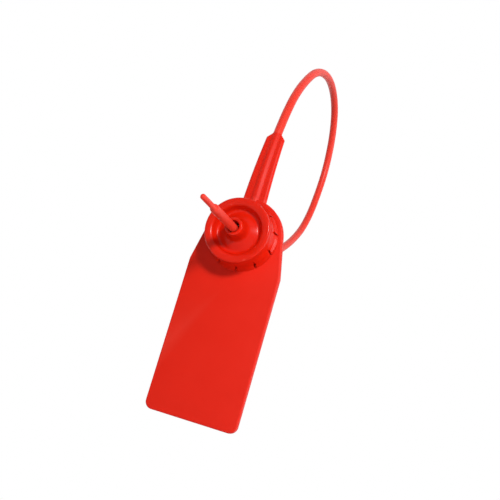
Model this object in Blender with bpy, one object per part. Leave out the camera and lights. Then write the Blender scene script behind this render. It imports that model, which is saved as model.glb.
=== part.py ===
"""Pull-tight plastic security seal with a flag tag, built for a tote's hasp.

One moulding makes the flag tag, the lock's housing, the stiff fin above it and the long round
strand. The strand bends back into a loop, enters the lock from behind and comes out of the nozzle
in front. A cup-shaped cap closes the lock over a ring with four sprung prongs, which let the
strand pull through one way only.

Metres, +Z up along the tag, front towards -Y. The origin is the centre of the tag's flat front
face. Everything round the lock is drawn from the lock's own centre, which is LOCK_Z above it.
"""
import math

import bmesh
import bpy
import numpy as np
from mathutils import Vector

MM = 0.001

# --- Flag tag -------------------------------------------------------------------------------
TAG_WIDTH = 24.9 * MM
TAG_STRAIGHT = 39.8 * MM         # height of the rectangular part, which the origin is centred on
TAG_THICKNESS = 2.0 * MM
TAG_CORNER_RADIUS = 2.0 * MM
EDGE_ROUNDING = 0.35 * MM
SHOULDER_TO_LOCK = 8.6 * MM      # from the top of the straight sides up to the lock's axis

# --- Lock -----------------------------------------------------------------------------------
CAP_RADIUS = 8.5 * MM            # outside of the cap's lip
CAP_HEIGHT = 6.5 * MM            # tag face to the cap's rim
CAP_WALL = 1.0 * MM
LIP_HEIGHT = 1.6 * MM            # thick lip round the rim, above the narrower neck
LIP_OVERHANG = 0.3 * MM          # the lip past the neck
FOOT_FLARE = 0.9 * MM            # the foot past the lip
FOOT_HEIGHT = 0.8 * MM
FOOT_NOTCHES = 11
NOTCH_WIDTH = 0.45 * MM
NOTCH_DEPTH = 0.9 * MM           # inwards from the foot's edge
NOTCH_SLANT_DEG = 40.0           # turned away from the radius, like a ratchet's teeth
LIP_WIDTH = 2.2 * MM             # from the lip's outside to the mouth of the bowl
BOWL_DEPTH = 2.2 * MM            # at the foot of the bowl's wall; the floor rises to the nozzle
NOZZLE_HEIGHT = 9.6 * MM         # tag face to the nozzle's lip
NOZZLE_RADIUS = 2.3 * MM
NOZZLE_BASE_RADIUS = 2.6 * MM
NOZZLE_BASE_HEIGHT = 5.8 * MM
SEAT_DEPTH = 0.2 * MM            # shallow round recess in the tag, which the foot stands in
SEAT_MARGIN = 0.7 * MM           # from the recess to the edge of the tag's round end
CHAMBER_RADIUS = 3.3 * MM        # round room for the locking ring
HOUSING_WALL = 1.0 * MM
ENTRY_RADIUS = 4.0 * MM          # low round boss on the tag's back, where the strand goes in
ENTRY_HEIGHT = 1.0 * MM
FUNNEL_RADIUS = 2.3 * MM

# --- Locking ring and prongs ----------------------------------------------------------------
RING_THICKNESS = 0.9 * MM
PRONG_COUNT = 4
PRONG_LENGTH = 3.2 * MM
PRONG_ARC_DEG = 62.0
PRONG_ROOT_WALL = 0.85 * MM
PRONG_TIP_WALL = 0.42 * MM

# --- Strand ---------------------------------------------------------------------------------
STRAND_RADIUS_ROOT = 1.2 * MM    # next to the fin
STRAND_RADIUS = 1.1 * MM         # in and near the lock
TAIL_THICK_LENGTH = 15.9 * MM    # past the nozzle's lip, up to the step
TIP_LENGTH = 8.6 * MM
TIP_RADIUS = 0.65 * MM
STRAIGHT_BEHIND_LOCK = 11.2 * MM

# --- Fin ------------------------------------------------------------------------------------
FIN_ROOT_WIDTH = 6.5 * MM
FIN_TOP_WIDTH = 5.1 * MM
FIN_THICKNESS = 1.5 * MM
FIN_SHOULDER = 28.5 * MM         # where the blade starts to narrow onto the strand
FIN_TOP = 30.0 * MM
FIN_LEAN = 5.6                   # backward bend, metres of offset per metre squared

# --- Fits -----------------------------------------------------------------------------------
GAP = 0.3 * MM                   # between pieces that touch
STRAND_CLEARANCE = 0.4 * MM      # radial, between the strand and each hole it slides in
OVERLAP = 0.4 * MM               # how far joined shapes of one moulding run into each other

# --- Places worked out from the sizes above -------------------------------------------------
LOCK_Z = TAG_STRAIGHT / 2 + SHOULDER_TO_LOCK
LOCK_CENTRE = Vector((0.0, 0.0, LOCK_Z))
TAG_MIDDLE_Y = TAG_THICKNESS / 2
NECK_RADIUS = CAP_RADIUS - LIP_OVERHANG
FOOT_RADIUS = CAP_RADIUS + FOOT_FLARE
BOWL_RADIUS = CAP_RADIUS - LIP_WIDTH
SEAT_RADIUS = FOOT_RADIUS + GAP
HEAD_RADIUS = SEAT_RADIUS + SEAT_MARGIN     # round end of the tag, behind the lock
FIN_BOTTOM = SEAT_RADIUS + 0.1 * MM         # above the lock's axis
CAP_BOTTOM = GAP - SEAT_DEPTH
BORE_RADIUS = STRAND_RADIUS + STRAND_CLEARANCE
HOUSING_RADIUS = CHAMBER_RADIUS + HOUSING_WALL
FLOOR_HEIGHT = CAP_HEIGHT - BOWL_DEPTH
CEILING_HEIGHT = FLOOR_HEIGHT - CAP_WALL
HOUSING_HEIGHT = CEILING_HEIGHT - GAP
PRONG_START = GAP + RING_THICKNESS + GAP
PRONG_END = PRONG_START + PRONG_LENGTH
STEP_HEIGHT = NOZZLE_HEIGHT + TAIL_THICK_LENGTH
ROUND_STEPS = 66                 # a multiple of the foot's notches


def fin_offset(height):
    """How far behind the tag's middle plane the bent fin lies, at a height above the lock."""
    return FIN_LEAN * max(0.0, height - FIN_BOTTOM) ** 2


# The loop's route in the plane X = 0, as (Y, Z) in millimetres from the lock's centre. It goes up
# and back from the fin, over the top, down behind and forward into the back of the lock.
LOOP_ROUTE_MM = [
    (3.6, 31.4), (5.4, 37.2), (8.3, 43.6), (13.0, 50.0), (20.2, 56.8), (28.8, 61.4), (38.2, 63.8),
    (47.4, 63.6), (55.4, 60.8), (61.2, 55.4), (64.4, 48.6), (65.4, 41.4), (64.2, 33.6),
    (61.4, 25.6), (56.1, 18.3), (48.1, 12.1), (38.8, 6.9), (29.7, 3.2), (21.1, 1.0), (15.0, 0.2),
]
LOOP_POINTS = 74


def clear_scene():
    for old in list(bpy.data.objects):
        bpy.data.objects.remove(old, do_unlink=True)


def plastic(name, colour, roughness):
    """A plain moulded plastic."""
    material = bpy.data.materials.new(name)
    material.use_nodes = True
    shader = material.node_tree.nodes["Principled BSDF"]
    shader.inputs["Base Color"].default_value = (*colour, 1.0)
    shader.inputs["Roughness"].default_value = roughness
    shader.inputs["Metallic"].default_value = 0.0
    return material


def add_object(name, data, material, location=LOCK_CENTRE):
    """Put a mesh or curve in the scene under its node's name."""
    piece = bpy.data.objects.new(name, data)
    piece.location = location
    bpy.context.scene.collection.objects.link(piece)
    if material is not None:
        data.materials.append(material)
    return piece


def add_mesh(name, shape, material, location=LOCK_CENTRE):
    """Turn a bmesh into an object with outward faces and smooth round surfaces."""
    bmesh.ops.recalc_face_normals(shape, faces=shape.faces)
    data = bpy.data.meshes.new(name)
    shape.to_mesh(data)
    shape.free()
    data.shade_smooth()
    data.set_sharp_from_angle(angle=math.radians(35))
    return add_object(name, data, material, location)


def boolean(piece, operation, name, shape):
    """Join a shape to a piece, or cut it away, with a hidden helper object."""
    helper = add_mesh(f"{piece.name}_{name}", shape, None, piece.location)
    helper.hide_render = True
    helper.display_type = "WIRE"
    modifier = piece.modifiers.new(name, "BOOLEAN")
    modifier.operation = operation
    modifier.solver = "EXACT"
    modifier.object = helper


def loft(sections, closed_ring=False):
    """Join rings of points, each with as many points, into a closed skin."""
    shape = bmesh.new()
    rings = [[shape.verts.new(point) for point in section] for section in sections]
    count = len(rings[0])
    pairs = list(zip(rings, rings[1:]))
    if closed_ring:
        pairs.append((rings[-1], rings[0]))
    for ring, following in pairs:
        for i in range(count):
            j = (i + 1) % count
            shape.faces.new((ring[i], ring[j], following[j], following[i]))
    if not closed_ring:
        shape.faces.new(rings[0])
        shape.faces.new(rings[-1])
    return shape


def turned(profile, steps=ROUND_STEPS, start_deg=0.0, arc_deg=360.0):
    """Turn a closed profile of (radius, height in front of the tag) about the lock's axis."""
    full = arc_deg >= 360.0
    angles = [math.radians(start_deg + arc_deg * k / steps) for k in range(steps + (not full))]
    sections = []
    for angle in angles:
        direction = Vector((math.cos(angle), 0.0, math.sin(angle)))
        sections.append([direction * radius + Vector((0, -height, 0)) for radius, height in profile])
    return loft(sections, closed_ring=full)


def turned_solid(profile, steps=ROUND_STEPS):
    """Turn an open profile whose two ends lie on the axis, as a shaft or a plug."""
    sections = []
    for radius, height in profile:
        turn = [2 * math.pi * k / steps for k in range(steps)]
        sections.append([(radius * math.cos(a), -height, radius * math.sin(a)) for a in turn])
    return loft(sections)


def tag_outline():
    """The tag's front outline from the lock's centre: round end, sloping shoulders, two corners."""
    half = TAG_WIDTH / 2
    shoulder = Vector((half, -SHOULDER_TO_LOCK))
    reach = shoulder.length
    tangent_angle = math.atan2(shoulder.y, shoulder.x) + math.acos(HEAD_RADIUS / reach)
    bottom = -(SHOULDER_TO_LOCK + TAG_STRAIGHT)
    points = []
    head_steps = 40
    for k in range(head_steps + 1):
        angle = tangent_angle + (math.pi - 2 * tangent_angle) * k / head_steps
        points.append((HEAD_RADIUS * math.cos(angle), HEAD_RADIUS * math.sin(angle)))
    points.append((-half, -SHOULDER_TO_LOCK))
    corner_steps = 6
    for side, first in ((-1, 180.0), (1, 270.0)):
        middle = (side * (half - TAG_CORNER_RADIUS), bottom + TAG_CORNER_RADIUS)
        for k in range(corner_steps + 1):
            angle = math.radians(first + 90.0 * k / corner_steps)
            points.append((middle[0] + TAG_CORNER_RADIUS * math.cos(angle),
                           middle[1] + TAG_CORNER_RADIUS * math.sin(angle)))
    points.append((half, -SHOULDER_TO_LOCK))
    return points


def fin_sections(half_width, half_depth, round_shape):
    """Cross-sections of the fin's blade or of its middle rib, up the bent centre line."""
    inset = 0.0 if round_shape else OVERLAP
    heights = list(np.linspace(FIN_BOTTOM - inset, FIN_SHOULDER, 10)) + [FIN_TOP - inset]
    sections = []
    for height in heights:
        y = TAG_MIDDLE_Y + fin_offset(height)
        lean = math.atan(2 * FIN_LEAN * (height - FIN_BOTTOM))
        across, deep = half_width(height), half_depth
        if round_shape:
            turn = [2 * math.pi * k / 16 for k in range(16)]
            outline = [(across * math.cos(a), deep * math.sin(a)) for a in turn]
        else:
            outline = [(across, -deep), (across, deep), (-across, deep), (-across, -deep)]
        sections.append([(x, y + d * math.cos(lean), height - d * math.sin(lean)) for x, d in outline])
    return sections


def fin_half_width(height):
    """The blade narrows slowly to its shoulder, then quickly onto the strand."""
    if height > FIN_SHOULDER:
        return STRAND_RADIUS_ROOT * 0.9
    share = (height - FIN_BOTTOM) / (FIN_SHOULDER - FIN_BOTTOM)
    return (FIN_ROOT_WIDTH + (FIN_TOP_WIDTH - FIN_ROOT_WIDTH) * share) / 2


def make_flag_body(material):
    """Tag, lock housing, rear entry and fin: the parts of the main moulding that are stiff."""
    outline = tag_outline()
    plate = loft([[(x, y, z) for x, z in outline] for y in (0.0, TAG_THICKNESS)])
    body = add_mesh("flag_body", plate, material)
    bevel = body.modifiers.new("rounded_edges", "BEVEL")
    bevel.width = EDGE_ROUNDING
    bevel.segments = 2
    bevel.limit_method = "ANGLE"
    bevel.angle_limit = math.radians(60)

    seat = turned_solid([(SEAT_RADIUS, -SEAT_DEPTH), (SEAT_RADIUS, OVERLAP)])
    boolean(body, "DIFFERENCE", "seat", seat)
    blade = loft(fin_sections(fin_half_width, FIN_THICKNESS / 2, False))
    boolean(body, "UNION", "fin_blade", blade)
    rib = loft(fin_sections(lambda height: STRAND_RADIUS_ROOT, STRAND_RADIUS_ROOT, True))
    boolean(body, "UNION", "fin_rib", rib)

    housing = turned([(CHAMBER_RADIUS, -OVERLAP), (HOUSING_RADIUS, -OVERLAP),
                      (HOUSING_RADIUS, HOUSING_HEIGHT), (CHAMBER_RADIUS, HOUSING_HEIGHT)])
    boolean(body, "UNION", "housing", housing)
    back = -TAG_THICKNESS
    boss = turned_solid([(ENTRY_RADIUS, back + OVERLAP), (ENTRY_RADIUS, back - ENTRY_HEIGHT + 0.2 * MM),
                         (ENTRY_RADIUS - 0.2 * MM, back - ENTRY_HEIGHT)])
    boolean(body, "UNION", "entry", boss)
    mouth = back - ENTRY_HEIGHT
    bore = turned_solid([(BORE_RADIUS, 2 * OVERLAP), (BORE_RADIUS, mouth + 1.2 * MM),
                         (FUNNEL_RADIUS, mouth), (FUNNEL_RADIUS, mouth - OVERLAP)])
    boolean(body, "DIFFERENCE", "bore", bore)
    return body


def add_notch(shape, angle):
    """One slanted box at the edge of the cap's foot, to be cut out of it."""
    radial = Vector((math.cos(angle), 0.0, math.sin(angle)))
    tangent = Vector((-math.sin(angle), 0.0, math.cos(angle)))
    slant = math.radians(NOTCH_SLANT_DEG)
    along = radial * math.cos(slant) - tangent * math.sin(slant)
    across = (radial * math.sin(slant) + tangent * math.cos(slant)) * (NOTCH_WIDTH / 2)
    start = radial * (FOOT_RADIUS - NOTCH_DEPTH)
    end = start + along * (NOTCH_DEPTH / math.cos(slant) + 2 * OVERLAP)
    rings = []
    for height in (CAP_BOTTOM - OVERLAP, CAP_HEIGHT - LIP_HEIGHT - OVERLAP):
        lift = Vector((0.0, -height, 0.0))
        corners = (start - across, end - across, end + across, start + across)
        rings.append([shape.verts.new(corner + lift) for corner in corners])
    shape.faces.new(rings[0])
    shape.faces.new(rings[1])
    for i in range(4):
        j = (i + 1) % 4
        shape.faces.new((rings[0][i], rings[0][j], rings[1][j], rings[1][i]))


def make_lock_cap(material):
    """Cup-shaped cap: flared foot, lip, bowl and nozzle, hollow underneath for the prongs."""
    lip_bottom = CAP_HEIGHT - LIP_HEIGHT
    outside = [
        (FOOT_RADIUS, CAP_BOTTOM), (FOOT_RADIUS, CAP_BOTTOM + FOOT_HEIGHT / 2),
        (FOOT_RADIUS - 0.45 * MM, CAP_BOTTOM + FOOT_HEIGHT),
        (NECK_RADIUS + 0.25 * MM, lip_bottom - 1.8 * MM), (NECK_RADIUS, lip_bottom - 0.4 * MM),
        (CAP_RADIUS - 0.12 * MM, lip_bottom - 0.05 * MM), (CAP_RADIUS, lip_bottom + 0.2 * MM),
        (CAP_RADIUS, CAP_HEIGHT - 0.5 * MM), (CAP_RADIUS - 0.15 * MM, CAP_HEIGHT - 0.15 * MM),
        (CAP_RADIUS - 0.45 * MM, CAP_HEIGHT), (BOWL_RADIUS + 0.5 * MM, CAP_HEIGHT - 0.1 * MM),
        (BOWL_RADIUS + 0.15 * MM, CAP_HEIGHT - 0.3 * MM), (BOWL_RADIUS, CAP_HEIGHT - 0.7 * MM),
        (BOWL_RADIUS - 0.25 * MM, FLOOR_HEIGHT + 0.35 * MM), (BOWL_RADIUS - 0.6 * MM, FLOOR_HEIGHT),
    ]
    nozzle = [
        (NOZZLE_BASE_RADIUS + 0.3 * MM, NOZZLE_BASE_HEIGHT - 0.15 * MM),
        (NOZZLE_BASE_RADIUS, NOZZLE_BASE_HEIGHT + 0.2 * MM),
        (NOZZLE_RADIUS, NOZZLE_HEIGHT - 0.5 * MM), (NOZZLE_RADIUS - 0.12 * MM, NOZZLE_HEIGHT - 0.15 * MM),
        (NOZZLE_RADIUS - 0.35 * MM, NOZZLE_HEIGHT), (BORE_RADIUS + 0.25 * MM, NOZZLE_HEIGHT - 0.04 * MM),
        (BORE_RADIUS + 0.07 * MM, NOZZLE_HEIGHT - 0.2 * MM), (BORE_RADIUS, NOZZLE_HEIGHT - 0.5 * MM),
    ]
    skirt_inner = NECK_RADIUS - CAP_WALL + 0.1 * MM
    chamber = [
        (BORE_RADIUS, PRONG_END + 0.9 * MM), (BORE_RADIUS + 0.7 * MM, PRONG_END + 0.25 * MM),
        (CHAMBER_RADIUS, CEILING_HEIGHT + 1.1 * MM), (CHAMBER_RADIUS, CEILING_HEIGHT),
        (HOUSING_RADIUS + 0.4 * MM, CEILING_HEIGHT), (BOWL_RADIUS + 0.2 * MM, CEILING_HEIGHT + 0.2 * MM),
        (BOWL_RADIUS + 0.6 * MM, CAP_HEIGHT - 1.5 * MM), (skirt_inner - 0.15 * MM, CAP_HEIGHT - 1.5 * MM),
        (skirt_inner, CAP_HEIGHT - 1.8 * MM), (skirt_inner, CAP_BOTTOM),
    ]
    cap = add_mesh("lock_cap", turned(outside + nozzle + chamber), material)
    notches = bmesh.new()
    for k in range(FOOT_NOTCHES):
        add_notch(notches, 2 * math.pi * (k + 0.5) / FOOT_NOTCHES)
    boolean(cap, "DIFFERENCE", "foot_notches", notches)
    return cap


def make_locking_ring(material):
    """Flat ring at the back of the chamber, which the prongs spring from."""
    outer = CHAMBER_RADIUS - GAP
    profile = [(BORE_RADIUS, GAP), (outer, GAP), (outer, GAP + RING_THICKNESS),
               (BORE_RADIUS, GAP + RING_THICKNESS)]
    return add_mesh("locking_ring", turned(profile, 44), material)


def make_prong(index, material):
    """One prong: it leans in along the strand, with a tooth at its tip, and pivots at its root."""
    middle_deg = 360.0 * (index + 0.5) / PRONG_COUNT
    tip_inner = STRAND_RADIUS + GAP
    root_inner = BORE_RADIUS + 0.35 * MM
    root_outer = root_inner + PRONG_ROOT_WALL
    profile = [
        (root_inner, PRONG_START), (root_outer, PRONG_START),
        (root_outer - 0.35 * MM, PRONG_START + 0.7 * PRONG_LENGTH),
        (tip_inner + PRONG_TIP_WALL, PRONG_END), (tip_inner, PRONG_END),
        (tip_inner + 0.18 * MM, PRONG_END - 0.7 * MM),
    ]
    shape = turned(profile, 7, middle_deg - PRONG_ARC_DEG / 2, PRONG_ARC_DEG)
    direction = Vector((math.cos(math.radians(middle_deg)), 0.0, math.sin(math.radians(middle_deg))))
    pivot = direction * ((root_inner + root_outer) / 2) + Vector((0.0, -PRONG_START, 0.0))
    bmesh.ops.translate(shape, verts=shape.verts, vec=-pivot)
    return add_mesh(f"prong_{index + 1}", shape, material, LOCK_CENTRE + pivot)


def make_strand_end(material):
    """Straight end of the strand: through the lock, out of the nozzle, a step and a thin lead-in tip."""
    tip_end = STEP_HEIGHT + TIP_LENGTH
    profile = [
        (STRAND_RADIUS, -STRAIGHT_BEHIND_LOCK), (STRAND_RADIUS, STEP_HEIGHT - 0.15 * MM),
        (STRAND_RADIUS - 0.15 * MM, STEP_HEIGHT), (TIP_RADIUS, STEP_HEIGHT + 0.1 * MM),
        (TIP_RADIUS, tip_end - 0.4 * MM), (TIP_RADIUS * 0.75, tip_end - 0.12 * MM),
        (TIP_RADIUS * 0.35, tip_end),
    ]
    return add_mesh("strand_end", turned_solid(profile, 20), material)


def smooth_route(points, count):
    """Even points on a curve through the route's points, which bends like a springy strand."""
    knots = np.array(points)
    padded = np.vstack([2 * knots[0] - knots[1], knots, 2 * knots[-1] - knots[-2]])
    fine = []
    for k in range(1, len(padded) - 2):
        before, here, after, beyond = padded[k - 1:k + 3]
        for t in np.linspace(0.0, 1.0, 24, endpoint=False):
            fine.append(0.5 * (2 * here + (after - before) * t
                               + (2 * before - 5 * here + 4 * after - beyond) * t ** 2
                               + (3 * here - before - 3 * after + beyond) * t ** 3))
    fine = np.array(fine + [knots[-1]])
    along = np.concatenate([[0.0], np.cumsum(np.linalg.norm(np.diff(fine, axis=0), axis=1))])
    places = np.linspace(0.0, along[-1], count)
    return [(np.interp(s, along, fine[:, 0]), np.interp(s, along, fine[:, 1])) for s in places]


def make_strand_loop(material):
    """The free loop of strand, from the top of the fin round to the back of the lock."""
    lean = 2 * FIN_LEAN * (FIN_TOP - FIN_BOTTOM)
    start = Vector((TAG_MIDDLE_Y + fin_offset(FIN_TOP), FIN_TOP))
    start += Vector((lean, 1.0)).normalized() * GAP
    end = Vector((STRAIGHT_BEHIND_LOCK + GAP, 0.0))
    route = [tuple(start)] + [(y * MM, z * MM) for y, z in LOOP_ROUTE_MM] + [tuple(end)]
    points = smooth_route(route, LOOP_POINTS)
    data = bpy.data.curves.new("strand_loop", "CURVE")
    data.dimensions = "3D"
    data.bevel_depth = STRAND_RADIUS_ROOT
    data.bevel_resolution = 2
    data.use_fill_caps = True
    spline = data.splines.new("POLY")
    spline.points.add(len(points) - 1)
    for k, (y, z) in enumerate(points):
        share = k / (len(points) - 1)
        spline.points[k].co = (0.0, y, z, 1.0)
        spline.points[k].radius = 1.0 + (STRAND_RADIUS / STRAND_RADIUS_ROOT - 1.0) * share
    return add_object("strand_loop", data, material)


def main():
    clear_scene()
    red = plastic("red_polypropylene", (0.76, 0.025, 0.012), 0.42)
    cap_red = plastic("red_cap_plastic", (0.78, 0.022, 0.01), 0.3)
    acetal = plastic("natural_acetal", (0.82, 0.80, 0.74), 0.35)
    make_flag_body(red)
    make_strand_loop(red)
    make_strand_end(red)
    make_lock_cap(cap_red)
    make_locking_ring(acetal)
    for index in range(PRONG_COUNT):
        make_prong(index, acetal)


main()
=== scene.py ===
"""Looks of a red plastic pull-tight seal: flag tag, round lock with a nozzle, and a looped strand."""
import math

import bmesh
import bpy
import numpy as np
from mathutils import Matrix, Vector


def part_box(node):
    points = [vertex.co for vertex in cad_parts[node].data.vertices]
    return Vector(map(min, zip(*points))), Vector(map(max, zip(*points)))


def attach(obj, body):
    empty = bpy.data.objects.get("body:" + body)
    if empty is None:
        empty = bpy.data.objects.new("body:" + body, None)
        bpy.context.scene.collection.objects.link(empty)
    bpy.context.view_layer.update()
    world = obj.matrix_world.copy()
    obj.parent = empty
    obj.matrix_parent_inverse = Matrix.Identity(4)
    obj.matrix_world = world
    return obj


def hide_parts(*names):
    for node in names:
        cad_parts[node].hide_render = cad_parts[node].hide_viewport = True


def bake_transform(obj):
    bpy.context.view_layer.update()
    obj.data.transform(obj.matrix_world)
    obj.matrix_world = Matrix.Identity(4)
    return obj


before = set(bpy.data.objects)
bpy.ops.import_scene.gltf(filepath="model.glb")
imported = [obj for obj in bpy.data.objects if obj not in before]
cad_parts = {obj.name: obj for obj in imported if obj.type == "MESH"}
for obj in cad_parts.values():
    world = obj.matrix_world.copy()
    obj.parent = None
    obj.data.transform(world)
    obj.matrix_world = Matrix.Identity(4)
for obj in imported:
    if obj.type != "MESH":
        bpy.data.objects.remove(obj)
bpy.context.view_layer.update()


# --- Camera ---------------------------------------------------------------------------------------
# A close view from the front, a little to the right and from below, with the camera turned so that
# the tag leans over. It is aimed just beside the lock, which stays near the middle of the frame.
MM = 0.001
cap_low, cap_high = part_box("lock_cap")
tag_low, tag_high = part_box("flag_body")
TAG_FACE_Y = 0.0
lock = Vector(((cap_low.x + cap_high.x) / 2, TAG_FACE_Y, (cap_low.z + cap_high.z) / 2))

CAMERA_AZIMUTH = math.radians(17.8)
CAMERA_ELEVATION = math.radians(-10.1)
CAMERA_ROLL = math.radians(16.5)
CAMERA_DISTANCE = 194.4 * MM
AIM_RIGHT_OF_LOCK = 1.8 * MM
AIM_BELOW_LOCK = 3.55 * MM

camera_data = bpy.data.cameras.new("camera")
camera_data.sensor_width = 36.0
camera_data.lens = 54.3
camera_data.clip_start = 0.01
camera = bpy.data.objects.new("camera", camera_data)
bpy.context.scene.collection.objects.link(camera)
turn = (Matrix.Rotation(CAMERA_AZIMUTH, 3, "Z") @ Matrix.Rotation(math.pi / 2 - CAMERA_ELEVATION, 3, "X")
        @ Matrix.Rotation(CAMERA_ROLL, 3, "Z"))
aim = lock + turn @ Vector((AIM_RIGHT_OF_LOCK, -AIM_BELOW_LOCK, 0.0))
camera.rotation_mode = "QUATERNION"
camera.rotation_quaternion = turn.to_quaternion()
camera.location = aim + turn @ Vector((0.0, 0.0, CAMERA_DISTANCE))
bpy.context.scene.camera = camera


# --- Light ----------------------------------------------------------------------------------------
# A soft key light on the upper right throws the lock's shadow down to the left. Weak panels at both
# sides and behind fill the rest, and a white world gives an even base light and white reflections.
scene = bpy.context.scene
scene.view_settings.view_transform = "Standard"


def area_light(name, direction, distance, size, power, height=None):
    """A rectangular lamp that looks at the lock from a direction."""
    data = bpy.data.lights.new(name, "AREA")
    data.shape = "RECTANGLE"
    data.size = size
    data.size_y = height or size
    data.energy = power
    lamp = bpy.data.objects.new(name, data)
    scene.collection.objects.link(lamp)
    away = Vector(direction).normalized()
    lamp.location = lock + away * distance
    lamp.rotation_mode = "QUATERNION"
    lamp.rotation_quaternion = away.to_track_quat("Z", "Y")
    return lamp


area_light("key_light", (0.60, -1.0, 0.50), 0.7, 0.11, 3.9)
area_light("side_panel", (1.0, 0.3, 0.0), 0.6, 0.3, 1.8, height=0.4)
area_light("left_panel", (-1.0, 0.35, 0.3), 0.8, 0.4, 0.5)
area_light("back_panel", (-0.2, 1.0, -0.4), 0.8, 0.5, 1.3)

world = bpy.data.worlds.new("studio")
scene.world = world
world.use_nodes = True
nodes, links = world.node_tree.nodes, world.node_tree.links
nodes.clear()
path = nodes.new("ShaderNodeLightPath")
seen = nodes.new("ShaderNodeMath")
seen.operation = "MAXIMUM"
seen_or_mirrored = nodes.new("ShaderNodeMath")
seen_or_mirrored.operation = "MAXIMUM"
links.new(path.outputs["Is Camera Ray"], seen.inputs[0])
links.new(path.outputs["Is Transmission Ray"], seen.inputs[1])
links.new(seen.outputs[0], seen_or_mirrored.inputs[0])
links.new(path.outputs["Is Glossy Ray"], seen_or_mirrored.inputs[1])
base_light = nodes.new("ShaderNodeBackground")
base_light.inputs["Color"].default_value = (1.0, 0.99, 0.98, 1.0)
base_light.inputs["Strength"].default_value = 0.16
backdrop_white = nodes.new("ShaderNodeBackground")
backdrop_white.inputs["Color"].default_value = (1.0, 1.0, 1.0, 1.0)
backdrop_white.inputs["Strength"].default_value = 1.0
choose = nodes.new("ShaderNodeMixShader")
world_out = nodes.new("ShaderNodeOutputWorld")
links.new(seen_or_mirrored.outputs[0], choose.inputs["Fac"])
links.new(base_light.outputs[0], choose.inputs[1])
links.new(backdrop_white.outputs[0], choose.inputs[2])
links.new(choose.outputs[0], world_out.inputs["Surface"])


# --- Floor ----------------------------------------------------------------------------------------
# Plain pale studio floor, well below the tag, which hangs by its loop. It looks pure white to the
# camera and in reflections, and bounces a little light up.
FLOOR_DROP = 45 * MM
FLOOR_SIZE = 1.6
floor_shape = bmesh.new()
bmesh.ops.create_grid(floor_shape, x_segments=1, y_segments=1, size=FLOOR_SIZE / 2)
floor_mesh = bpy.data.meshes.new("floor")
floor_shape.to_mesh(floor_mesh)
floor_shape.free()
floor = bpy.data.objects.new("floor", floor_mesh)
floor.location = (lock.x, lock.y, tag_low.z - FLOOR_DROP)
scene.collection.objects.link(floor)
floor_paint = bpy.data.materials.new("floor_white")
floor_paint.use_nodes = True
nodes, links = floor_paint.node_tree.nodes, floor_paint.node_tree.links
matt = nodes["Principled BSDF"]
matt.inputs["Base Color"].default_value = (0.86, 0.86, 0.86, 1.0)
matt.inputs["Roughness"].default_value = 0.9
glow = nodes.new("ShaderNodeEmission")
glow.inputs["Color"].default_value = (1.0, 1.0, 1.0, 1.0)
glow.inputs["Strength"].default_value = 1.0
path = nodes.new("ShaderNodeLightPath")
seen = nodes.new("ShaderNodeMath")
seen.operation = "MAXIMUM"
choose = nodes.new("ShaderNodeMixShader")
links.new(path.outputs["Is Camera Ray"], seen.inputs[0])
links.new(path.outputs["Is Glossy Ray"], seen.inputs[1])
links.new(seen.outputs[0], choose.inputs["Fac"])
links.new(matt.outputs[0], choose.inputs[1])
links.new(glow.outputs[0], choose.inputs[2])
links.new(choose.outputs[0], nodes["Material Output"].inputs["Surface"])
floor_mesh.materials.append(floor_paint)


# --- Flag tag ---------------------------------------------------------------------------------------
# The stiff part of the main moulding: red polypropylene, 2 mm thick, with a round end behind the
# lock, sloping shoulders and two rounded corners. Its edges are softened as moulded ones are.
TAG_THICKNESS = 2.0 * MM
TAG_HALF_WIDTH = (tag_high.x - tag_low.x) / 2
TAG_BOTTOM = tag_low.z
SHOULDER_Z = -tag_low.z                     # the straight part is centred on the origin
HEAD_RADIUS = 10.4 * MM
CORNER_RADIUS = 2.0 * MM
EDGE_RADIUS = 0.42 * MM


def surface_group(name, builder, inputs, outputs):
    """A node group with named sockets: inputs and outputs are (name, kind, default) rows."""
    group = bpy.data.node_groups.new(name, "ShaderNodeTree")
    for label, kind, default in inputs:
        socket = group.interface.new_socket(name=label, in_out="INPUT", socket_type=f"NodeSocket{kind}")
        if default is not None:
            socket.default_value = default
    for label, kind, _ in outputs:
        group.interface.new_socket(name=label, in_out="OUTPUT", socket_type=f"NodeSocket{kind}")
    start = group.nodes.new("NodeGroupInput")
    end = group.nodes.new("NodeGroupOutput")
    builder(group.nodes, group.links, start, end)
    return group


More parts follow.
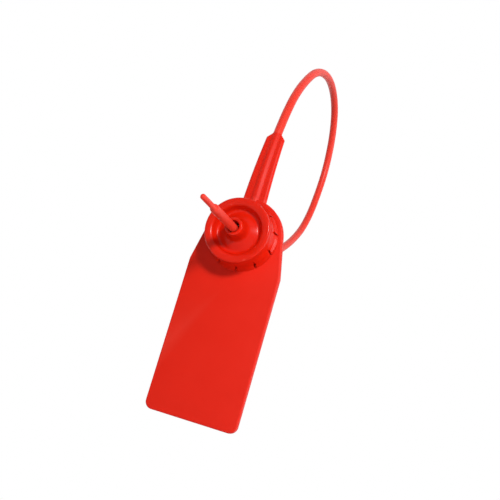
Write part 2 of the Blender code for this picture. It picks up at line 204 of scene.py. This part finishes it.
def build_moulded_skin(nodes, links, start, end):
    """Colour mottling, roughness patches, fine grain and a painted highlight on convex edges of a moulded plastic.
    """
    place = nodes.new("ShaderNodeTexCoord")
    patches = nodes.new("ShaderNodeTexNoise")
    patches.inputs["Detail"].default_value = 3.0
    links.new(place.outputs["Object"], patches.inputs["Vector"])
    links.new(start.outputs["Patch Scale"], patches.inputs["Scale"])
    grain = nodes.new("ShaderNodeTexNoise")
    grain.inputs["Detail"].default_value = 4.0
    grain.inputs["Roughness"].default_value = 0.6
    links.new(place.outputs["Object"], grain.inputs["Vector"])
    links.new(start.outputs["Grain Scale"], grain.inputs["Scale"])

    tone = nodes.new("ShaderNodeMix")
    tone.data_type = "RGBA"
    links.new(patches.outputs["Fac"], tone.inputs["Factor"])
    links.new(start.outputs["Deep Colour"], tone.inputs["A"])
    links.new(start.outputs["Pale Colour"], tone.inputs["B"])

    geometry = nodes.new("ShaderNodeNewGeometry")
    # Convex edges, found by pointiness, get a paler colour mixed in: a painted highlight along rounded edges.
    edge = nodes.new("ShaderNodeMapRange")
    edge.inputs["From Min"].default_value = 0.53
    edge.inputs["From Max"].default_value = 0.62
    links.new(geometry.outputs["Pointiness"], edge.inputs["Value"])
    painted_edge_highlight = nodes.new("ShaderNodeMath")
    painted_edge_highlight.operation = "MULTIPLY"
    links.new(edge.outputs["Result"], painted_edge_highlight.inputs[0])
    links.new(start.outputs["Edge Wear"], painted_edge_highlight.inputs[1])
    with_edge_highlight = nodes.new("ShaderNodeMix")
    with_edge_highlight.data_type = "RGBA"
    links.new(painted_edge_highlight.outputs[0], with_edge_highlight.inputs["Factor"])
    links.new(tone.outputs["Result"], with_edge_highlight.inputs["A"])
    links.new(start.outputs["Edge Highlight Colour"], with_edge_highlight.inputs["B"])
    links.new(with_edge_highlight.outputs["Result"], end.inputs["Colour"])

    rough = nodes.new("ShaderNodeMapRange")
    links.new(patches.outputs["Fac"], rough.inputs["Value"])
    rough.inputs["From Min"].default_value = 0.3
    rough.inputs["From Max"].default_value = 0.7
    links.new(start.outputs["Roughness Low"], rough.inputs["To Min"])
    links.new(start.outputs["Roughness High"], rough.inputs["To Max"])
    links.new(rough.outputs["Result"], end.inputs["Roughness"])
    links.new(grain.outputs["Fac"], end.inputs["Grain"])


moulded_skin = surface_group(
    "moulded_skin", build_moulded_skin,
    [("Deep Colour", "Color", (0.70, 0.02, 0.01, 1.0)), ("Pale Colour", "Color", (0.8, 0.03, 0.015, 1.0)),
     ("Edge Highlight Colour", "Color", (0.85, 0.12, 0.08, 1.0)), ("Patch Scale", "Float", 120.0),
     ("Grain Scale", "Float", 5000.0), ("Edge Wear", "Float", 0.4),
     ("Roughness Low", "Float", 0.4), ("Roughness High", "Float", 0.5)],
    [("Colour", "Color", None), ("Roughness", "Float", None), ("Grain", "Float", None)])


def moulded_plastic(name, deep, pale, painted_edge_highlight, roughness, grain_height, shine=0.35, **settings):
    """A moulded plastic: the skin group feeds one Principled shader, with a little light inside it."""
    material = bpy.data.materials.new(name)
    material.use_nodes = True
    nodes, links = material.node_tree.nodes, material.node_tree.links
    shader = nodes["Principled BSDF"]
    skin = nodes.new("ShaderNodeGroup")
    skin.node_tree = moulded_skin
    skin.inputs["Deep Colour"].default_value = (*deep, 1.0)
    skin.inputs["Pale Colour"].default_value = (*pale, 1.0)
    skin.inputs["Edge Highlight Colour"].default_value = (*painted_edge_highlight, 1.0)
    skin.inputs["Roughness Low"].default_value = roughness[0]
    skin.inputs["Roughness High"].default_value = roughness[1]
    for label, value in settings.items():
        skin.inputs[label.replace("_", " ").title()].default_value = value
    bump = nodes.new("ShaderNodeBump")
    bump.inputs["Strength"].default_value = 0.35
    bump.inputs["Distance"].default_value = grain_height
    links.new(skin.outputs["Colour"], shader.inputs["Base Color"])
    links.new(skin.outputs["Roughness"], shader.inputs["Roughness"])
    links.new(skin.outputs["Grain"], bump.inputs["Height"])
    links.new(bump.outputs["Normal"], shader.inputs["Normal"])
    shader.inputs["IOR"].default_value = 1.49
    shader.inputs["Specular IOR Level"].default_value = shine
    shader.inputs["Subsurface Weight"].default_value = 0.12
    shader.inputs["Subsurface Radius"].default_value = (1.0, 0.15, 0.08)
    shader.inputs["Subsurface Scale"].default_value = 0.8 * MM
    return material


RED_DEEP = (0.71, 0.014, 0.004)
RED_PALE = (0.77, 0.018, 0.006)
# The paler edge red is a painted highlight for the light that rounded edges reflect.
RED_EDGE_HIGHLIGHT = (0.88, 0.13, 0.09)
# The tag's strong edge setting paints that highlight along its rounded edges.
tag_red = moulded_plastic("tag_red", RED_DEEP, RED_PALE, RED_EDGE_HIGHLIGHT, (0.40, 0.50), 0.012 * MM,
                          shine=0.16, edge_wear=0.7, grain_scale=6000.0)


def finish_mesh(name, shape, material, sharp_deg=32.0):
    """Turn a bmesh into a smooth-shaded object."""
    bmesh.ops.recalc_face_normals(shape, faces=shape.faces)
    data = bpy.data.meshes.new(name)
    shape.to_mesh(data)
    shape.free()
    data.shade_smooth()
    data.set_sharp_from_angle(angle=math.radians(sharp_deg))
    data.materials.append(material)
    piece = bpy.data.objects.new(name, data)
    scene.collection.objects.link(piece)
    return piece


def skin_between(shape, rings, closed_ends=True):
    """Faces between rings of points that each have as many points."""
    rows = [[shape.verts.new(point) for point in ring] for ring in rings]
    count = len(rows[0])
    for near, far in zip(rows, rows[1:]):
        for i in range(count):
            j = (i + 1) % count
            shape.faces.new((near[i], near[j], far[j], far[i]))
    if closed_ends:
        shape.faces.new(rows[0])
        shape.faces.new(rows[-1])
    return rows


def tag_outline():
    """The tag's outline in X and Z, anticlockwise from the right end of its round top."""
    shoulder = Vector((TAG_HALF_WIDTH, SHOULDER_Z - lock.z))
    tangent = math.atan2(shoulder.y, shoulder.x) + math.acos(HEAD_RADIUS / shoulder.length)
    points = []
    for angle in np.linspace(tangent, math.pi - tangent, 73):
        points.append((lock.x + HEAD_RADIUS * math.cos(angle), lock.z + HEAD_RADIUS * math.sin(angle)))
    points += [(-TAG_HALF_WIDTH, SHOULDER_Z)]
    points += [(-TAG_HALF_WIDTH, z) for z in np.linspace(SHOULDER_Z, TAG_BOTTOM + CORNER_RADIUS, 9)[1:-1]]
    for side, first in ((-1, 180.0), (1, 270.0)):
        centre = (side * (TAG_HALF_WIDTH - CORNER_RADIUS), TAG_BOTTOM + CORNER_RADIUS)
        for angle in np.radians(np.linspace(first, first + 90.0, 13)):
            points.append((centre[0] + CORNER_RADIUS * math.cos(angle),
                           centre[1] + CORNER_RADIUS * math.sin(angle)))
    points += [(TAG_HALF_WIDTH, z) for z in np.linspace(TAG_BOTTOM + CORNER_RADIUS, SHOULDER_Z, 9)[1:-1]]
    points += [(TAG_HALF_WIDTH, SHOULDER_Z)]
    return np.array(points)


def inset_outline(points, distance):
    """The same outline moved inwards, point by point, along the bisector at each corner."""
    before, after = np.roll(points, 1, axis=0), np.roll(points, -1, axis=0)
    first = (points - before) / np.linalg.norm(points - before, axis=1)[:, None]
    second = (after - points) / np.linalg.norm(after - points, axis=1)[:, None]
    normals = [np.stack([-edge[:, 1], edge[:, 0]], axis=1) for edge in (first, second)]
    bisector = normals[0] + normals[1]
    bisector /= np.linalg.norm(bisector, axis=1)[:, None]
    shrink = (bisector * normals[0]).sum(axis=1)
    return points + bisector * (distance / shrink)[:, None]


def rounded_plate(outline, front, back, radius, steps=5):
    """A plate between two Y values with quarter-round edges all the way round."""
    rings = []
    for side, sign in ((front, 1), (back, -1)):
        turn_range = np.linspace(0.0, math.pi / 2, steps)
        if sign < 0:
            turn_range = turn_range[::-1]
        for angle in turn_range:
            inner = inset_outline(outline, radius * (1 - math.sin(angle)))
            y = side + sign * radius * (1 - math.cos(angle))
            rings.append([(x, y, z) for x, z in inner])
    shape = bmesh.new()
    skin_between(shape, rings)
    return shape


tag = finish_mesh("tag_skin", rounded_plate(tag_outline(), TAG_FACE_Y, TAG_FACE_Y + TAG_THICKNESS, EDGE_RADIUS),
                  tag_red)
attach(tag, "root")
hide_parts("flag_body")


# --- Fin ------------------------------------------------------------------------------------------
# The flat stiff root of the strand, moulded on top of the tag. A round rib runs up its middle and
# turns into the strand at the chamfered shoulders. The loop's pull bends the fin a little backwards.
FIN_ROOT_HALF = 3.25 * MM
FIN_TOP_HALF = 2.55 * MM
FIN_HALF_THICKNESS = 0.75 * MM
RIB_RADIUS = 1.2 * MM
FIN_BOTTOM = lock.z + 9.8 * MM
FIN_SHOULDER = lock.z + 28.5 * MM
FIN_TOP = lock.z + 30.0 * MM
FIN_LEAN = 5.6
RIB_FILLET = 0.35 * MM
TAG_MIDDLE_Y = TAG_FACE_Y + TAG_THICKNESS / 2


def fin_outline(half_width, half_thickness):
    """One cross-section: a thin blade with rounded edges that swells smoothly into the middle rib."""
    side = np.linspace(-1.0, 1.0, 33)
    across = half_width * np.sin(side * math.pi / 2)
    near_edge = np.clip((half_width - np.abs(across)) / half_thickness, 0.0, 1.0)
    blade = half_thickness * np.sqrt(1.0 - (1.0 - near_edge) ** 2)
    rib = np.sqrt(np.clip(RIB_RADIUS ** 2 - across ** 2, 0.0, None))
    higher, lower = np.maximum(blade, rib), np.minimum(blade, rib)
    depth = higher + np.clip(RIB_FILLET - (higher - lower), 0.0, None) ** 2 / (4 * RIB_FILLET)
    depth = np.minimum(depth, np.maximum(blade, rib) + 0.08 * MM)
    depth[[0, -1]] = 0.0
    front = [(x, -d) for x, d in zip(across, depth)]
    back = [(x, d) for x, d in zip(across[::-1], depth[::-1])]
    return front + back[1:-1]


fin_rings = []
heights = list(np.linspace(FIN_BOTTOM, FIN_SHOULDER, 16)) + list(np.linspace(FIN_SHOULDER, FIN_TOP, 7)[1:])
for height in heights:
    if height <= FIN_SHOULDER:
        up = (height - FIN_BOTTOM) / (FIN_SHOULDER - FIN_BOTTOM)
        half = FIN_ROOT_HALF + (FIN_TOP_HALF - FIN_ROOT_HALF) * up
    else:
        up = (height - FIN_SHOULDER) / (FIN_TOP - FIN_SHOULDER)
        half = FIN_TOP_HALF + (RIB_RADIUS - FIN_TOP_HALF) * up
    y = TAG_MIDDLE_Y + FIN_LEAN * (height - FIN_BOTTOM) ** 2
    lean = math.atan(2 * FIN_LEAN * (height - FIN_BOTTOM))
    fin_rings.append([(x, y + d * math.cos(lean), height - d * math.sin(lean))
                      for x, d in fin_outline(half, FIN_HALF_THICKNESS)])
fin_shape = bmesh.new()
skin_between(fin_shape, fin_rings)
fin = finish_mesh("fin_skin", fin_shape, tag_red, sharp_deg=50.0)
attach(fin, "root")


# --- Rear entry -----------------------------------------------------------------------------------
# A low round boss on the tag's back with a funnel, where the strand goes into the lock.
ENTRY_RADIUS = 4.0 * MM
ENTRY_BACK = TAG_THICKNESS + 1.0 * MM
BORE_RADIUS = 1.5 * MM
FUNNEL_RADIUS = 2.3 * MM


def turned(profile, steps=96):
    """Turn a closed profile of (radius, height in front of the tag) about the lock's axis."""
    shape = bmesh.new()
    rows = []
    for k in range(steps):
        angle = 2 * math.pi * k / steps
        rows.append([shape.verts.new(lock + Vector((r * math.cos(angle), -h, r * math.sin(angle))))
                     for r, h in profile])
    count = len(profile)
    for k in range(steps):
        near, far = rows[k], rows[(k + 1) % steps]
        for i in range(count):
            j = (i + 1) % count
            shape.faces.new((near[i], near[j], far[j], far[i]))
    return shape


entry_profile = [(BORE_RADIUS, -TAG_THICKNESS + 0.3 * MM), (ENTRY_RADIUS, -TAG_THICKNESS + 0.3 * MM)]
for angle in np.linspace(0.0, math.pi / 2, 6):
    entry_profile.append((ENTRY_RADIUS - 0.3 * MM * (1 - math.cos(angle)),
                          -ENTRY_BACK + 0.3 * MM * (1 - math.sin(angle))))
entry_profile += [(FUNNEL_RADIUS + 0.15 * MM, -ENTRY_BACK), (FUNNEL_RADIUS, -ENTRY_BACK + 0.06 * MM),
                  (BORE_RADIUS + 0.3 * MM, -ENTRY_BACK + 0.85 * MM), (BORE_RADIUS, -ENTRY_BACK + 1.2 * MM)]
entry = finish_mesh("rear_entry", turned(entry_profile), tag_red)
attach(entry, "root")


# --- Lock cap -------------------------------------------------------------------------------------
# A separate cup-shaped moulding in the same red, glossier than the tag. A thick rounded lip stands
# above a skirt that flares to the tag; the foot has eleven slanted notches. Inside the lip a bowl
# falls away, and its floor rises in the middle into the nozzle that the strand comes out of.
LIP_RADIUS = 8.5 * MM
NECK_RADIUS = 8.2 * MM
FOOT_RADIUS = (cap_high.x - cap_low.x) / 2
FOOT_EDGE = 0.12 * MM
FOOT_NOTCHES = 11
NOTCH_WIDTH = 0.45 * MM
NOTCH_DEPTH = 0.9 * MM
NOTCH_SLANT = math.radians(40.0)
RIM_HEIGHT = 6.5 * MM
LIP_BOTTOM = RIM_HEIGHT - 1.6 * MM
NOZZLE_HEIGHT = TAG_FACE_Y - cap_low.y
BOWL_RADIUS = 6.1 * MM
FLOOR_HEIGHT = 4.3 * MM
NOZZLE_RADIUS = 2.3 * MM
CAP_FOOT = 0.0 * MM
CHAMBER_RADIUS = 3.3 * MM


def rounded_profile(corners, arc_steps=5):
    """A closed profile with each (radius, height, rounding) corner turned into a small curve."""
    points = []
    count = len(corners)
    for i, (r, h, rounding) in enumerate(corners):
        here = Vector((r, h))
        if rounding <= 0.0:
            points.append(tuple(here))
            continue
        before, after = Vector(corners[i - 1][:2]), Vector(corners[(i + 1) % count][:2])
        reach = min(rounding, (before - here).length * 0.48, (after - here).length * 0.48)
        start = here + (before - here).normalized() * reach
        end = here + (after - here).normalized() * reach
        for t in np.linspace(0.0, 1.0, arc_steps):
            points.append(tuple(start * (1 - t) ** 2 + here * (2 * t * (1 - t)) + end * t ** 2))
    return points


cap_corners = [
    (FOOT_RADIUS, CAP_FOOT, 0.0), (FOOT_RADIUS - 0.05 * MM, CAP_FOOT + FOOT_EDGE, 0.1),
    (NECK_RADIUS + 0.6 * MM, CAP_FOOT + 1.1 * MM, 0.9), (NECK_RADIUS + 0.1 * MM, LIP_BOTTOM - 1.6 * MM, 1.0),
    (NECK_RADIUS, LIP_BOTTOM - 0.1 * MM, 0.15), (LIP_RADIUS, LIP_BOTTOM + 0.05 * MM, 0.25),
    (LIP_RADIUS, RIM_HEIGHT - 0.02 * MM, 0.55), (LIP_RADIUS - 1.2 * MM, RIM_HEIGHT, 0.5),
    (BOWL_RADIUS + 0.3 * MM, RIM_HEIGHT - 0.35 * MM, 0.6), (BOWL_RADIUS - 0.2 * MM, FLOOR_HEIGHT + 0.35 * MM, 0.6),
    (BOWL_RADIUS - 0.9 * MM, FLOOR_HEIGHT, 0.7), (NOZZLE_RADIUS + 0.65 * MM, FLOOR_HEIGHT + 1.35 * MM, 0.8),
    (NOZZLE_RADIUS + 0.2 * MM, FLOOR_HEIGHT + 2.3 * MM, 0.7), (NOZZLE_RADIUS, NOZZLE_HEIGHT - 0.01 * MM, 0.4),
    (BORE_RADIUS, NOZZLE_HEIGHT - 0.01 * MM, 0.32), (BORE_RADIUS, 5.6 * MM, 0.2),
    (BORE_RADIUS + 0.7 * MM, 4.95 * MM, 0.2), (CHAMBER_RADIUS, FLOOR_HEIGHT + 0.1 * MM, 0.2),
    (CHAMBER_RADIUS, FLOOR_HEIGHT - 1.0 * MM, 0.1), (4.8 * MM, FLOOR_HEIGHT - 1.0 * MM, 0.3),
    (BOWL_RADIUS + 0.35 * MM, FLOOR_HEIGHT - 0.7 * MM, 0.3), (BOWL_RADIUS + 0.75 * MM, LIP_BOTTOM + 0.1 * MM, 0.3),
    (NECK_RADIUS - 0.95 * MM, LIP_BOTTOM + 0.1 * MM, 0.2), (NECK_RADIUS - 0.9 * MM, CAP_FOOT, 0.1),
]
cap_profile = rounded_profile([(r, h, k * MM) for r, h, k in cap_corners], 7)
# The cap's edges get a weaker share of the same painted edge highlight.
cap_red = moulded_plastic("cap_red", (0.69, 0.012, 0.002), (0.74, 0.015, 0.004), RED_EDGE_HIGHLIGHT, (0.15, 0.22), 0.004 * MM,
                          shine=0.14, edge_wear=0.2, grain_scale=5000.0)
cap = finish_mesh("lock_cap_skin", turned(cap_profile, 176), cap_red)

notch_shape = bmesh.new()
for k in range(FOOT_NOTCHES):
    angle = 2 * math.pi * (k + 0.5) / FOOT_NOTCHES
    radial = Vector((math.cos(angle), 0.0, math.sin(angle)))
    tangent = Vector((-math.sin(angle), 0.0, math.cos(angle)))
    along = radial * math.cos(NOTCH_SLANT) - tangent * math.sin(NOTCH_SLANT)
    across = (radial * math.sin(NOTCH_SLANT) + tangent * math.cos(NOTCH_SLANT)) * NOTCH_WIDTH / 2
    start = lock + radial * (FOOT_RADIUS - NOTCH_DEPTH)
    end = start + along * (NOTCH_DEPTH / math.cos(NOTCH_SLANT) + 0.8 * MM)
    rings = [[corner - Vector((0.0, height, 0.0)) for corner in
              (start - across, end - across, end + across, start + across)]
             for height in (CAP_FOOT - 0.4 * MM, LIP_BOTTOM - 0.4 * MM)]
    skin_between(notch_shape, rings)
notches = finish_mesh("cap_notches", notch_shape, cap_red)
notches.hide_render = True
notches.display_type = "WIRE"
cut_notches = cap.modifiers.new("cut_notches", "BOOLEAN")
cut_notches.operation = "DIFFERENCE"
cut_notches.solver = "EXACT"
cut_notches.object = notches
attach(cap, "root")
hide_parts("lock_cap")


# --- Strand loop ----------------------------------------------------------------------------------
# The long round strand, moulded in one with the fin. It bends back into a springy loop, which the
# lock and the fin hold, and it runs straight into the back of the lock.
STRAND_RADIUS = 1.1 * MM
LOOP_ROUTE_MM = [
    (3.6, 31.4), (5.4, 37.2), (8.3, 43.6), (13.0, 50.0), (20.2, 56.8), (28.8, 61.4), (38.2, 63.8),
    (47.4, 63.6), (55.4, 60.8), (61.2, 55.4), (64.4, 48.6), (65.4, 41.4), (64.2, 33.6),
    (61.4, 25.6), (56.1, 18.3), (48.1, 12.1), (38.8, 6.9), (29.7, 3.2), (21.1, 1.0), (15.0, 0.2),
]
LOOP_RINGS = 260
JOIN_Y = TAG_FACE_Y + 1.9 * MM              # inside the lock, where the loop's skin meets the end's
STRAND_REST = 0.33 * MM                     # the strand lies on the lower side of its bore


def smooth_route(points, count):
    """Even points on a curve through the route's points."""
    knots = np.array(points)
    padded = np.vstack([2 * knots[0] - knots[1], knots, 2 * knots[-1] - knots[-2]])
    fine = []
    for k in range(1, len(padded) - 2):
        before, here, after, beyond = padded[k - 1:k + 3]
        for t in np.linspace(0.0, 1.0, 24, endpoint=False):
            fine.append(0.5 * (2 * here + (after - before) * t
                               + (2 * before - 5 * here + 4 * after - beyond) * t ** 2
                               + (3 * here - before - 3 * after + beyond) * t ** 3))
    fine = np.array(fine + [knots[-1]])
    along = np.concatenate([[0.0], np.cumsum(np.linalg.norm(np.diff(fine, axis=0), axis=1))])
    places = np.linspace(0.0, along[-1], count)
    return np.stack([np.interp(places, along, fine[:, 0]), np.interp(places, along, fine[:, 1])], axis=1)


fin_end = (TAG_MIDDLE_Y + FIN_LEAN * (FIN_TOP - 0.3 * MM - FIN_BOTTOM) ** 2, FIN_TOP - 0.3 * MM)
route = [fin_end] + [(y * MM, lock.z + z * MM) for y, z in LOOP_ROUTE_MM]
route += [(11.2 * MM, lock.z), (6.5 * MM, lock.z - STRAND_REST * 0.6), (JOIN_Y, lock.z - STRAND_REST)]
centre_line = smooth_route(route, LOOP_RINGS)
tangents = np.gradient(centre_line, axis=0)
tangents /= np.linalg.norm(tangents, axis=1)[:, None]
loop_rings = []
for k, ((y, z), (ty, tz)) in enumerate(zip(centre_line, tangents)):
    radius = RIB_RADIUS + (STRAND_RADIUS - RIB_RADIUS) * k / (LOOP_RINGS - 1)
    ring = []
    for angle in np.linspace(0.0, 2 * math.pi, 24, endpoint=False):
        side, out = radius * math.cos(angle), radius * math.sin(angle)
        ring.append((lock.x + side, y - tz * out, z + ty * out))
    loop_rings.append(ring)
loop_shape = bmesh.new()
skin_between(loop_shape, loop_rings)
strand_red = moulded_plastic("strand_red", (0.76, 0.032, 0.016), (0.82, 0.042, 0.022), RED_EDGE_HIGHLIGHT, (0.36, 0.44), 0.002 * MM,
                             shine=0.26, edge_wear=0.0, grain_scale=7000.0)
loop = finish_mesh("strand_loop_skin", loop_shape, strand_red, sharp_deg=60.0)
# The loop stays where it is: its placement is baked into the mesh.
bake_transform(loop)
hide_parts("strand_loop")


# --- Strand end -----------------------------------------------------------------------------------
# The strand's own end: full thickness through the lock and out of the nozzle, then a step down to
# the thin lead-in tip that is pushed into the lock first.
end_low, end_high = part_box("strand_end")
TIP_LENGTH = 8.6 * MM
TIP_RADIUS = 0.68 * MM
tip_height = TAG_FACE_Y - end_low.y
step_height = tip_height - TIP_LENGTH
end_profile = [(0.0001 * MM, -JOIN_Y), (STRAND_RADIUS, -JOIN_Y), (STRAND_RADIUS, step_height - 4.0 * MM),
               (STRAND_RADIUS - 0.03 * MM, step_height - 0.35 * MM), (STRAND_RADIUS - 0.12 * MM, step_height - 0.1 * MM),
               (STRAND_RADIUS - 0.28 * MM, step_height + 0.04 * MM), (TIP_RADIUS, step_height + 0.14 * MM),
               (TIP_RADIUS, tip_height - 3.0 * MM), (TIP_RADIUS - 0.02 * MM, tip_height - 0.6 * MM)]
for angle in np.linspace(0.2, math.pi / 2, 7)[:-1]:
    end_profile.append(((TIP_RADIUS - 0.02 * MM) * math.cos(angle), tip_height - 0.6 * MM * (1 - math.sin(angle))))
end_profile.append((0.0001 * MM, tip_height))
end_shape = bmesh.new()
rows = []
for r, h in end_profile[1:-1]:
    rows.append([lock + Vector((r * math.cos(a), -h, r * math.sin(a) - STRAND_REST))
                 for a in np.linspace(0.0, 2 * math.pi, 28, endpoint=False)])
skin_between(end_shape, rows)
strand_end = finish_mesh("strand_end_skin", end_shape, strand_red, sharp_deg=60.0)
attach(strand_end, "strand")
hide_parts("strand_end")


# --- Locking ring and prongs ----------------------------------------------------------------------
# The insert in the chamber: a flat ring and four prongs in natural acetal, which let the strand
# through one way. They keep their CAD shapes.
# Its convex edges are painted paler through the same painted edge highlight mix.
acetal = moulded_plastic("natural_acetal", (0.72, 0.69, 0.60), (0.80, 0.78, 0.70), (0.86, 0.84, 0.78), (0.32, 0.42),
                         0.006 * MM, edge_wear=0.3, grain_scale=3000.0)
for name in ("locking_ring", "prong_1", "prong_2", "prong_3", "prong_4"):
    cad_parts[name].data.materials.clear()
    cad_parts[name].data.materials.append(acetal)
